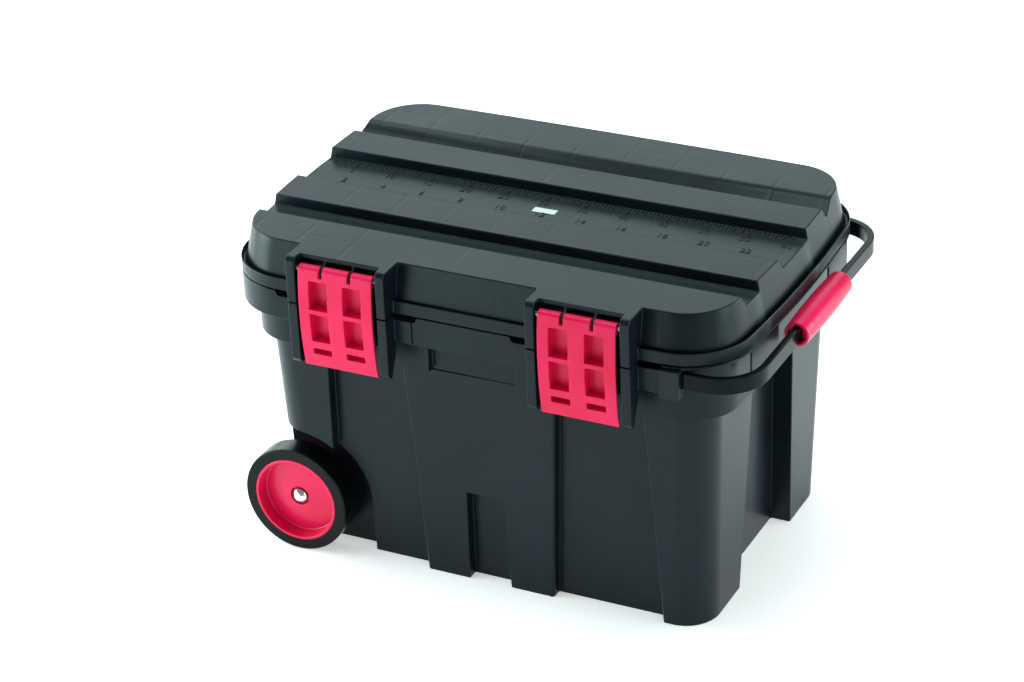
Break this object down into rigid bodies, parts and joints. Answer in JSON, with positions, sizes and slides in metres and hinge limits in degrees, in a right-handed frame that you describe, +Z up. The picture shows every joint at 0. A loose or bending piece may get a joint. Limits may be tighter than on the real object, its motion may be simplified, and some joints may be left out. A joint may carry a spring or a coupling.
{
  "type": "rolling jobsite storage box",
  "caption": "Moulded rolling storage box with hinged grooved lid, swing latches, side wheels on a cross axle and a pull-out bar handle with round grip.",
  "frame": {"origin": "middle of the floor face under the tub, on the floor", "axes": "+X along the length towards the handle end, -Y the latch side, +Z up"},
  "size_m": [0.6683, 0.4748, 0.411],
  "materials": {
    "shell": "fine grain",
    "latch_red": "satin",
    "pin_steel": "drawn",
    "hub_red": "gloss",
    "tyre_black": "matt",
    "cap_chrome": "polished",
    "bar_black": "gloss black",
    "grip_red": "gloss",
    "guide_black": "satin"
  },
  "bodies": {
    "tub": {"tub_shell": "shell", "hinge_pin_left": "pin_steel", "hinge_pin_right": "pin_steel", "axle": "pin_steel", "axle_cap_front": "cap_chrome", "axle_cap_back": "cap_chrome", "axle_washer_front": "guide_black", "axle_washer_back": "guide_black", "handle_guide_front": "guide_black", "handle_guide_back": "guide_black"},
    "lid": {"lid_shell": "shell", "latch_pin_left": "pin_steel", "latch_pin_right": "pin_steel"},
    "left_latch": {"latch_left": "latch_red"},
    "right_latch": {"latch_right": "latch_red"},
    "handle": {"handle_bar": "bar_black", "handle_grip": "grip_red", "handle_shoe_front": "guide_black", "handle_shoe_back": "guide_black", "handle_rivets": "pin_steel"},
    "front_wheel": {"wheel_hub_front": "hub_red", "tyre_front": "tyre_black"},
    "back_wheel": {"wheel_hub_back": "hub_red", "tyre_back": "tyre_black"}
  },
  "joints": [
    {"name": "lid_hinge", "type": "hinge", "parent": "tub", "child": "lid", "pos_m": [0, 0.228, 0.3545], "axis": [-1, 0, 0], "range_deg": [0, 100]},
    {"name": "left_latch_pivot", "type": "hinge", "parent": "lid", "child": "left_latch", "pos_m": [-0.1475, -0.2288, 0.3965], "axis": [-1, 0, 0], "range_deg": [0, 88]},
    {"name": "right_latch_pivot", "type": "hinge", "parent": "lid", "child": "right_latch", "pos_m": [0.1475, -0.2288, 0.3965], "axis": [-1, 0, 0], "range_deg": [0, 88]},
    {"name": "handle_slide", "type": "slide", "parent": "tub", "child": "handle", "axis": [1, 0, 0], "range_m": [0, 0.27]},
    {"name": "front_wheel_spin", "type": "hinge", "parent": "tub", "child": "front_wheel", "pos_m": [-0.2446, 0, 0.0665], "axis": [0, 1, 0], "continuous": true},
    {"name": "back_wheel_spin", "type": "hinge", "parent": "tub", "child": "back_wheel", "pos_m": [-0.2446, 0, 0.0665], "axis": [0, 1, 0], "continuous": true}
  ]
}
